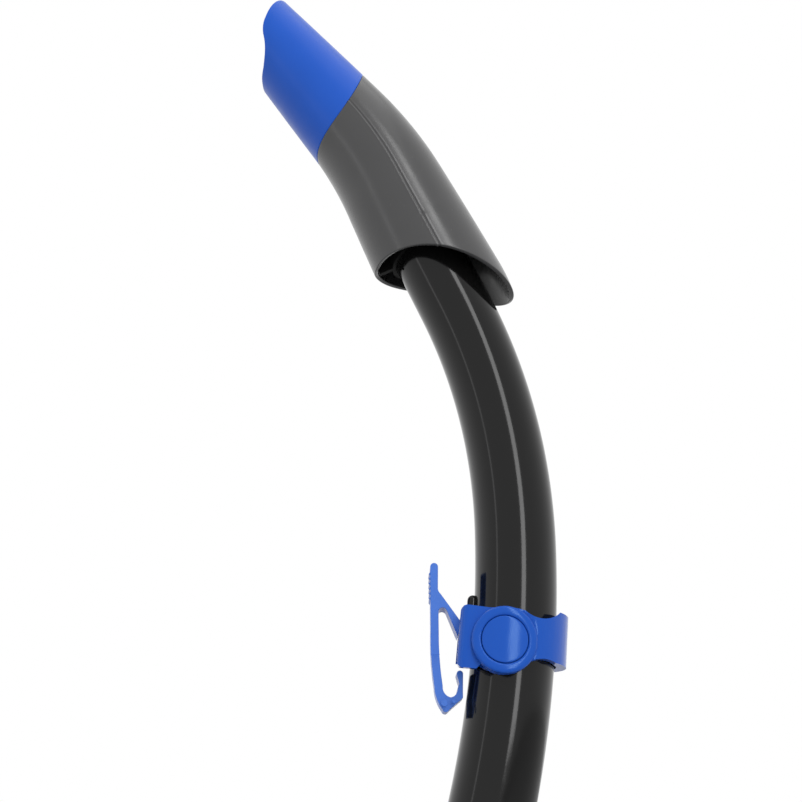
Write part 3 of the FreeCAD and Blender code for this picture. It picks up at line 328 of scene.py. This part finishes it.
def shell_point(height, angle):
    """The shell's outer surface at a height above the upper bend; angle 0 is away from the head."""
    share = min(max((height - shell_bottom) / shell_length, 0), 1)
    full = 1 - share ** 1.5
    wide = mouth_size[0] + (rim_size[0] - mouth_size[0]) * full
    deep = mouth_size[1] + (rim_size[1] - mouth_size[1]) * full
    tuck = rim_tuck * (max(tuck_top - height, 0) / tuck_length) ** 2 * max(math.cos(angle), 0)
    across = Vector((wide / 2 * math.cos(angle) - tuck, deep / 2 * math.sin(angle), 0))
    return line_frame(neck_start + height) @ across


def height_frame(height, tilt):
    """A frame across the centre line at a height above the upper bend, tilted about Y."""
    return line_frame(neck_start + height) @ Matrix.Rotation(math.radians(tilt), 4, "Y")


def edge_height(angle, past, low, high):
    """How high the shell's surface is cut, where past tells if a point lies beyond the cut."""
    for _ in range(24):
        middle = (low + high) / 2
        if past(shell_point(middle, angle)):
            high = middle
        else:
            low = middle
    return low


def shell_sheet(name, angles, low_edge, high_edge, shares, relief=None):
    """The shell between two edges given as a height for each angle, wrapped from a flat grid."""
    deselect()
    bpy.ops.mesh.primitive_grid_add(x_subdivisions=len(angles), y_subdivisions=len(shares) - 1,
                                    size=1)
    sheet = bpy.context.object
    sheet.name = name
    for vertex in sheet.data.vertices:
        column = round((vertex.co.x + 0.5) * len(angles)) % len(angles)
        share = shares[round((vertex.co.y + 0.5) * (len(shares) - 1))]
        height = low_edge[column] * (1 - share) + high_edge[column] * share
        vertex.co = shell_point(height, angles[column])
        if relief is not None:
            outward = (vertex.co - point_at(neck_start + height)).normalized()
            vertex.co += outward * relief(height, angles[column])
    choose(sheet)
    bpy.ops.object.mode_set(mode="EDIT")
    bpy.ops.mesh.select_all(action="SELECT")
    bpy.ops.mesh.remove_doubles(threshold=0.00001)
    bpy.ops.mesh.normals_make_consistent(inside=False)
    bpy.ops.object.mode_set(mode="OBJECT")
    modify(sheet, "SOLIDIFY", thickness=shell_wall, offset=-1, use_even_offset=True)
    modify(sheet, "BEVEL", width=0.00035, segments=3, limit_method="ANGLE",
           angle_limit=math.radians(50), use_clamp_overlap=False)
    smooth_round_bevels(sheet)
    return sheet


def arch_radius(half_span, rise):
    return (half_span ** 2 + rise ** 2) / (2 * rise)


seam_radius = arch_radius(0.0223, 0.0074)
to_seam = height_frame(0.084, -23).inverted()
rim_rise = 0.0052
rim_radius = arch_radius(0.0263, rim_rise)
to_rim = height_frame(0.0076, 35.5).inverted()
rim_back_lift = 0.0017


def past_seam(point):
    x, _, z = to_seam @ point
    return z > seam_radius - math.sqrt(seam_radius ** 2 - x ** 2)


def ramp(share):
    """A soft step from 0 to 1."""
    share = min(max(share, 0), 1)
    return share ** 2 * (3 - 2 * share)


def past_rim(point):
    """Beyond the arched rim, which stands a little higher at its back, towards the head."""
    x, y, z = to_rim @ point
    lift = rim_back_lift * ramp((y + 0.006) / 0.016) * ramp((0.012 - x) / 0.020)
    return z > rim_rise - rim_radius + math.sqrt(rim_radius ** 2 - x ** 2) + lift


line_reach = 0.0205
line_width = 0.00028
groove_depth = 0.00013
lip_height = 0.00007
lip_aside = 0.0007
scar_depth = 0.00022
scar_height = 0.0279
scar_aside = -0.0004
scar_wide = 0.0010
scar_tall = 0.0007


def bell(distance, width):
    return math.exp(-(distance / width) ** 2)


def mould_line(height, angle):
    """A fine double line down the front and back, with the gate's small scar on the front."""
    if math.cos(angle) ** 2 > 0.2:
        return 0
    aside = math.cos(angle) * line_reach
    relief = lip_height * bell(abs(aside) - lip_aside, line_width)
    relief -= groove_depth * bell(aside, line_width)
    if angle < 0:
        scar = bell(aside - scar_aside, scar_wide) * bell(height - scar_height, scar_tall)
        relief -= scar_depth * scar
    return relief


beside_line = [side * away / line_reach for side in (-1, 1)
               for away in (0, 0.0002, 0.0004, 0.0006, 0.0008, 0.0011, 0.0015)]
round_about = [turn for turn in spread(-math.pi, math.pi, 160)[:-1]
               if abs(abs(turn) + front) > 0.0018 / line_reach]
cowl_angles = sorted({*round_about, *(front + away for away in beside_line),
                      *(away - front for away in beside_line)})
rim_edge = [edge_height(angle, past_rim, shell_bottom, 0.050) for angle in cowl_angles]
seam_edge = [edge_height(angle, past_seam, 0.060, 0.110) for angle in cowl_angles]
by_the_scar = spread(0.17, 0.25, 16)
cowl_shares = (spread(0, by_the_scar[0], 6)[:-1] + by_the_scar
               + spread(by_the_scar[-1], 1, 30)[1:])
cowl = shell_sheet("cowl_shell", cowl_angles, rim_edge, seam_edge, cowl_shares, mould_line)
satin = {"Clouding": 0.14, "Smudge": 0.06, "Grain_Scale": 2400, "Grain": 0.06}
satin_grey = moulded("satin grey plastic", (0.053, 0.053, 0.054), 0.21, satin, IOR=1.45)
paint(cowl, satin_grey)
stands_for(cowl, "barrel", "cowl")

# ---------------------------------------------------------------- splash cap
# The cap is a blue moulding that plugs into the cowl at the seam and ends in the snorkel's
# open mouth, whose edge swells a little, dips above the lip and rounds over at the top.
lip = (-0.06995, 0.2209)
apex = (-0.06035, 0.2555)
swell = (-0.0685, 0.2354)
dip = (-0.06765, 0.2275)


def arc_through(first, middle, last, count):
    """Points on the circle through three points in the XZ plane, from first to last."""
    ax, az, bx, bz, cx, cz = *first, *middle, *last
    a, b, c = ax ** 2 + az ** 2, bx ** 2 + bz ** 2, cx ** 2 + cz ** 2
    twice = 2 * (ax * (bz - cz) + bx * (cz - az) + cx * (az - bz))
    x = (a * (bz - cz) + b * (cz - az) + c * (az - bz)) / twice
    z = (a * (cx - bx) + b * (ax - cx) + c * (bx - ax)) / twice
    start, end = math.atan2(az - z, ax - x), math.atan2(cz - z, cx - x)
    turn = (end - start + math.pi) % (2 * math.pi) - math.pi
    radius = math.hypot(ax - x, az - z)
    angles = spread(start, start + turn, count)
    return [(x + radius * math.cos(angle), z + radius * math.sin(angle)) for angle in angles]


over_swell = (swell[0] + 0.0010, swell[1] + 0.0046)
under_swell = (swell[0] + 0.0004, swell[1] - 0.0034)
under_dip = (dip[0] - 0.0009, dip[1] - 0.0052)
bow = ((apex[0] + over_swell[0]) / 2 - 0.00115, (apex[1] + over_swell[1]) / 2 - 0.00115)
lip_top = (lip[0] + 0.0005, lip[1])
lip_front = (lip[0] + 0.0003, lip[1] - 0.00104)
lip_end = (lip[0] + 0.0008, lip[1] - 0.00208)
mouth_line = (arc_through(apex, bow, over_swell, 20)
              + arc_through(over_swell, swell, under_swell, 12)
              + arc_through(under_swell, dip, under_dip, 12)
              + arc_through(lip_top, lip_front, lip_end, 8))


def past_mouth(point):
    if point.z >= apex[1]:
        return point.x < apex[0] + point.z - apex[1]
    for (x, z), (next_x, next_z) in zip(mouth_line, mouth_line[1:]):
        if next_z <= point.z < z:
            return point.x < x + (next_x - x) * (point.z - z) / (next_z - z)
    return False


cap_angles = spread(-math.pi, math.pi, 200)[:-1]
cap_low = [edge_height(angle, past_seam, 0.060, 0.110) for angle in cap_angles]
cap_high = [edge_height(angle, past_mouth, 0.100, 0.160) for angle in cap_angles]
cap = shell_sheet("cap_shell", cap_angles, cap_low, cap_high, spread(0, 1, 36))
cap_skin = {"Clouding": 0.10, "Smudge": 0.06, "Grain_Scale": 2400, "Grain": 0.06}
cap_colour = moulded("blue plastic", (0.015, 0.093, 0.50), 0.28, cap_skin, IOR=1.24)
paint(cap, cap_colour)
stands_for(cap, "barrel", "splash_cap")

# ---------------------------------------------------------------- keeper
# The keeper's collar is a blue moulding that rides on the tube, with a round boss on its
# front in which a plain disc sits. A pocket in its block carries the strap clip.


def finished_copy(node, name, width):
    """A copy of a plain solid with its doubles merged, its flats whole and its edges rounded."""
    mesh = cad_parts[node].data.copy()
    piece = bpy.data.objects.new(name, mesh)
    bpy.context.collection.objects.link(piece)
    choose(piece)
    bpy.ops.object.mode_set(mode="EDIT")
    bpy.ops.mesh.select_all(action="SELECT")
    bpy.ops.mesh.remove_doubles(threshold=0.00002)
    bpy.ops.mesh.dissolve_limited(angle_limit=math.radians(1.5))
    bpy.ops.object.mode_set(mode="OBJECT")
    modify(piece, "BEVEL", width=width, segments=3, limit_method="ANGLE",
           angle_limit=math.radians(40), use_clamp_overlap=True)
    smooth_round_bevels(piece, 30)
    return piece


boss_place = Matrix.Translation((-0.0044, -0.02095, -0.0026))
boss = keeper_frame @ boss_place @ Matrix.Rotation(math.pi / 2, 4, "X")
to_boss = boss.inverted()
drum_radius = 0.026


def crowned(x):
    """How far the boss falls back at a distance beside its middle, as a broad drum does."""
    return x ** 2 / (2 * drum_radius)


def turned_ring(name, profile):
    """A closed ring or disc from heights and radii over the boss's front, crowned and in place."""
    ring = oval_sheet(name, [(Matrix.Translation((0, 0, high)), 2 * radius, 2 * radius)
                             for high, radius in profile], 128)
    choose(ring)
    bpy.ops.object.mode_set(mode="EDIT")
    bpy.ops.mesh.select_all(action="SELECT")
    bpy.ops.mesh.remove_doubles(threshold=0.000005)
    bpy.ops.mesh.fill_holes(sides=0)
    bpy.ops.mesh.select_all(action="SELECT")
    bpy.ops.mesh.normals_make_consistent(inside=False)
    bpy.ops.object.mode_set(mode="OBJECT")
    for vertex in ring.data.vertices:
        x, y, high = vertex.co
        vertex.co = boss @ Vector((x, y, high - crowned(x)))
    smooth(ring, 50)
    return ring


boss_edge = 0.0107
boss_sunk = -0.0014
recess_floor = -0.0028
block_inner = -0.0180
draft = 0.07
draft_start = -0.017
collar = finished_copy("keeper_collar", "keeper_body", 0.0007)
to_keeper = keeper_frame.inverted()
for vertex in collar.data.vertices:
    x, y, high = to_boss @ vertex.co
    if math.hypot(x, y) < boss_edge:
        under = max(boss_sunk - crowned(x), recess_floor)
        vertex.co = boss @ Vector((x, y, min(high, under)))
    aside, back, _ = to_keeper @ vertex.co
    if aside < block_inner:
        vertex.co.x += draft * (back - draft_start)
ring_base = -0.0026
ring_outer = 0.01042
ring_inner = 0.00742
outer_rounding = [(-0.0009, ring_outer), (-0.00058, 0.01036), (-0.00030, 0.01020),
                  (-0.00010, 0.00996), (0, 0.00966)]
inner_rounding = [(0, 0.00825), (-0.00008, 0.00790), (-0.00022, 0.00766), (-0.00042, 0.00749),
                  (-0.00070, ring_inner)]
boss_front = turned_ring("boss_front", [
    (ring_base, ring_outer), *outer_rounding, (0, 0.00895), *inner_rounding, (-0.0012, ring_inner),
    (ring_base, ring_inner), (ring_base, ring_outer)])
join_into(collar, boss_front)
tough = {"Clouding": 0.08, "Smudge": 0.05, "Grain_Scale": 2600, "Grain": 0.06}
keeper_colour = moulded("blue keeper plastic", (0.011, 0.080, 0.45), 0.14, tough, IOR=1.38,
                        Specular_Tint=(0.45, 0.72, 1, 1))
paint(collar, keeper_colour)
stands_for(collar, "keeper", "keeper_collar")

disc_back = -0.0011
disc_edge = 0.00728
disc_rounding = [(-0.00030, disc_edge), (-0.00012, 0.00722), (-0.00002, 0.00708), (0, 0.00686)]
disc_front = [(0, radius) for radius in (0.0062, 0.0052, 0.0040, 0.0028, 0.0014, 0.0002)]
disc = turned_ring("keeper_boss_disc", [
    (disc_back, 0.0002), (disc_back, 0.0068), (disc_back, disc_edge), *disc_rounding, *disc_front])
paint(disc, keeper_colour)
stands_for(disc, "keeper", "keeper_disc")

# ---------------------------------------------------------------- strap clip
# The clip is a blue lever on two trunnions. Its toothed press stands above the keeper, and
# its hook below takes the mask's strap. Two ejector pins left their round marks on its front,
# and a fine witness line crosses its bar.
arm_foot = 0.0080
arm_low = 0.0020
arm_run = 0.0045
arm_shift = 0.0015
arm_limit = 0.0034
bar_front = -0.0069
clip = finished_copy("strap_clip", "clip_lever", 0.0005)
for vertex in clip.data.vertices:
    x, _, z = vertex.co
    if 0.0003 < x < 0.0033 and arm_low < z < arm_foot:
        vertex.co.x += min(arm_shift * (arm_foot - z) / arm_run, arm_limit - x)
for x, z, radius in ((-0.0013, -0.0164, 0.0010), (0.0018, -0.0158, 0.0006)):
    deselect()
    bpy.ops.mesh.primitive_cylinder_add(vertices=32, radius=radius, depth=0.0006,
                                        location=(x, bar_front, z), rotation=(math.pi / 2, 0, 0))
    mark = bpy.context.object
    settle(mark)
    modify(mark, "BEVEL", width=0.00008, segments=2)
    join_into(clip, mark)
deselect()
bpy.ops.mesh.primitive_cube_add(size=1, location=(-0.00412, -0.0070, -0.0011),
                                scale=(0.0030, 0.0004, 0.00022))
witness = bpy.context.object
settle(witness)
modify(witness, "BEVEL", width=0.00006, segments=2)
join_into(clip, witness)
# The clip's blue is lighter than the keeper's: a painted sheen for the light that the clip's front
# catches.
clip_blue_with_painted_sheen = moulded("blue clip plastic with painted sheen", (0.064, 0.180, 0.63), 0.26, tough, IOR=1.30)
paint(clip, clip_blue_with_painted_sheen)
stands_for(clip, "clip", "strap_clip")

# ---------------------------------------------------------------- spacer and deflector
# Two black mouldings inside the cowl: a ring with four ribs that centres the tube's top, and
# a sleeve, slanted at its upper end, that throws water back from the bore.
dull = {"Clouding": 0.2, "Smudge": 0.08, "Grain_Scale": 3000, "Grain": 0.15}
inner_black = moulded("dull black plastic", (0.003, 0.003, 0.003), 0.55, dull, IOR=1.2)
for node, slot_name in (("cowl_spacer", "spacer_black"), ("deflector", "deflector_black")):
    part = finished_copy(node, f"{node}_piece", 0.0002)
    paint(part, inner_black)
    stands_for(part, "barrel", node)

# ---------------------------------------------------------------- hose
# A soft black bellows hose joins the tube to the purge chamber. Its round pleats are built in one
# fixed bend, a plain cuff at each end slips over a spigot, and a black band holds each cuff.
hose_bend = 0.072
hose_turn = math.radians(57)
hose_lean = -lower_turn
hose_wall = 0.0013
cuff = 0.017
cuff_across = 0.0302
foot_gap = 0.0003
hose_start = point_at(round_end - foot_gap - cuff)
across_hose = Vector((math.cos(hose_lean), 0, math.sin(hose_lean)))
hose_centre = hose_start - across_hose * hose_bend


def hose_frame(length):
    """The frame across the hose at a length from its upper cuff's top."""
    turn = min(max((length - cuff) / hose_bend, 0), hose_turn)
    lean = hose_lean - turn
    out = Vector((math.cos(lean), 0, math.sin(lean)))
    down = Vector((math.sin(lean), 0, -math.cos(lean)))
    straight = min(length - cuff, 0) + max(length - cuff - hose_bend * hose_turn, 0)
    return (Matrix.Translation(hose_centre + out * hose_bend + down * straight)
            @ Matrix.Rotation(-lean, 4, "Y"))


def hose_row(length, across):
    return hose_frame(length), across, across


pleats = 10
rows_per_pleat = 12
groove_across = 0.0250
pleat_height = 0.0052
pleated = hose_bend * hose_turn
whole = 2 * cuff + pleated
cuff_profile = [(0, 0.0257), (0, 0.0297), (0.0004, cuff_across), (cuff - 0.0012, cuff_across),
                (cuff - 0.0004, 0.0296)]
hose_rows = [hose_row(length, across) for length, across in cuff_profile]
for step in range(pleats * rows_per_pleat + 1):
    wave = 0.5 - 0.5 * math.cos(2 * math.pi * step / rows_per_pleat)
    length = cuff + pleated * step / (pleats * rows_per_pleat)
    hose_rows.append(hose_row(length, groove_across + pleat_height * wave ** 0.8))
hose_rows += [hose_row(whole - length, across) for length, across in reversed(cuff_profile)]
hose = oval_sheet("bellows_hose", hose_rows, 96)
modify(hose, "SOLIDIFY", thickness=hose_wall, offset=-1, use_even_offset=True)
smooth(hose, 60)
bloomed = {"Clouding": 0.5, "Smudge": 0.10, "Grain_Scale": 2200, "Grain": 0.22}
soft_black = moulded("soft black rubber", (0.012, 0.012, 0.012), 0.42, bloomed, IOR=1.45)
paint(hose, soft_black)
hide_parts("hose")
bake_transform(hose)

for node, body in (("hose_ring_upper", "barrel"), ("hose_ring_lower", "chamber")):
    band = finished_copy(node, f"{node}_band", 0.0004)
    paint(band, gloss_black)
    stands_for(band, body, node)

# ---------------------------------------------------------------- purge chamber
# The chamber is a black dome with two spigots. Below it lie a valve seat, a soft seal and a
# silicone flap, all held by a blue cover with water slots.
clear_grey = moulded("cloudy silicone", (0.62, 0.64, 0.66), 0.35, bloomed, IOR=1.42,
                     Transmission_Weight=0.25)
for node, body, name, edge, material, slot_name in (
        ("purge_housing", "chamber", "chamber_dome", 0.0004, gloss_black, "housing_black"),
        ("valve_seat", "chamber", "valve_seat_disc", 0.0002, inner_black, "seat_black"),
        ("purge_seal", "chamber", "seal_ring", 0.0002, soft_black, "seal_rubber"),
        ("purge_flap", "flap", "flap_disc", 0.0002, clear_grey, "flap_silicone"),
        ("purge_cover", "chamber", "slotted_cover", 0.0004, keeper_colour, "cover_blue")):
    piece = finished_copy(node, name, edge)
    paint(piece, material)
    stands_for(piece, body, node)

# ---------------------------------------------------------------- mouthpiece
# Soft silicone, moulded in one piece: a neck that slips over the chamber's spigot, a curved
# shield for the lips and two bite tabs. A nylon tie holds the neck.
mouthpiece = finished_copy("mouthpiece", "mouthpiece_soft", 0.0004)
modify(mouthpiece, "REMESH", mode="VOXEL", voxel_size=0.0006, use_smooth_shade=True)
modify(mouthpiece, "SMOOTH", factor=0.5, iterations=6)
modify(mouthpiece, "DECIMATE", ratio=0.5)
smooth(mouthpiece, 80)
paint(mouthpiece, soft_black)
stands_for(mouthpiece, "bite", "mouthpiece")
tie = finished_copy("mouthpiece_tie", "nylon_tie", 0.0003)
paint(tie, inner_black)
stands_for(tie, "bite", "mouthpiece_tie")

# ---------------------------------------------------------------- light and view
# A plain white studio: a white surround, a tall strip light to the right of the camera
# and a weak one to its left, and a soft light overhead, over a pale floor.


def area_light(name, place, aim, size, power):
    deselect()
    bpy.ops.object.light_add(type="AREA", location=place)
    lamp = bpy.context.object
    lamp.name = name
    lamp.data.shape = "RECTANGLE"
    lamp.data.size, lamp.data.size_y = size
    lamp.data.energy = power
    lamp.rotation_euler = (Vector(aim) - Vector(place)).to_track_quat("-Z", "Y").to_euler()


area_light("strip light", (0.365, -1.10, 0.74), (0, 0, 0.74), (0.26, 1.52), 7.5)
area_light("left strip", (-1.1, -0.50, 0.45), (0, 0, 0.45), (0.08, 1.2), 0.45)
area_light("overhead", (0.0, -0.2, 1.2), (0, 0, 0.05), (0.9, 0.9), 2)

deselect()
bpy.ops.mesh.primitive_plane_add(size=6, location=(0, 0, -0.1815))
floor = bpy.context.object
floor.name = "pale floor"
pale = bpy.data.materials.new("pale floor")
pale.use_nodes = True
pale.node_tree.nodes["Principled BSDF"].inputs["Base Color"].default_value = (0.6, 0.6, 0.6, 1)
pale.node_tree.nodes["Principled BSDF"].inputs["Roughness"].default_value = 0.7
floor.data.materials.append(pale)

world = bpy.data.worlds.new("white surround")
bpy.context.scene.world = world
world.use_nodes = True
tree = world.node_tree
ground = tree.nodes["Background"]
ground.inputs["Color"].default_value = (1, 1, 1, 1)
ray = tree.nodes.new("ShaderNodeLightPath").outputs
straight = add_node(tree, "ShaderNodeMath", "MAXIMUM", _0=ray["Is Camera Ray"],
                    _1=ray["Is Transmission Ray"])
seen = add_node(tree, "ShaderNodeMath", "MAXIMUM", _0=straight.outputs[0], _1=ray["Is Glossy Ray"])
level = add_node(tree, "ShaderNodeMapRange", Value=seen.outputs[0], To_Min=0.82, To_Max=1.0)
tree.links.new(level.outputs[0], ground.inputs["Strength"])

camera_data = bpy.data.cameras.new("camera")
camera_data.lens = 51.13
camera_data.clip_start = 0.01
camera = bpy.data.objects.new("camera", camera_data)
camera.location = (-0.01512, -0.380, -0.049)
camera.rotation_euler = (math.radians(109.85), 0, 0)
bpy.context.collection.objects.link(camera)
bpy.context.scene.camera = camera
bpy.context.scene.view_settings.view_transform = "Standard"
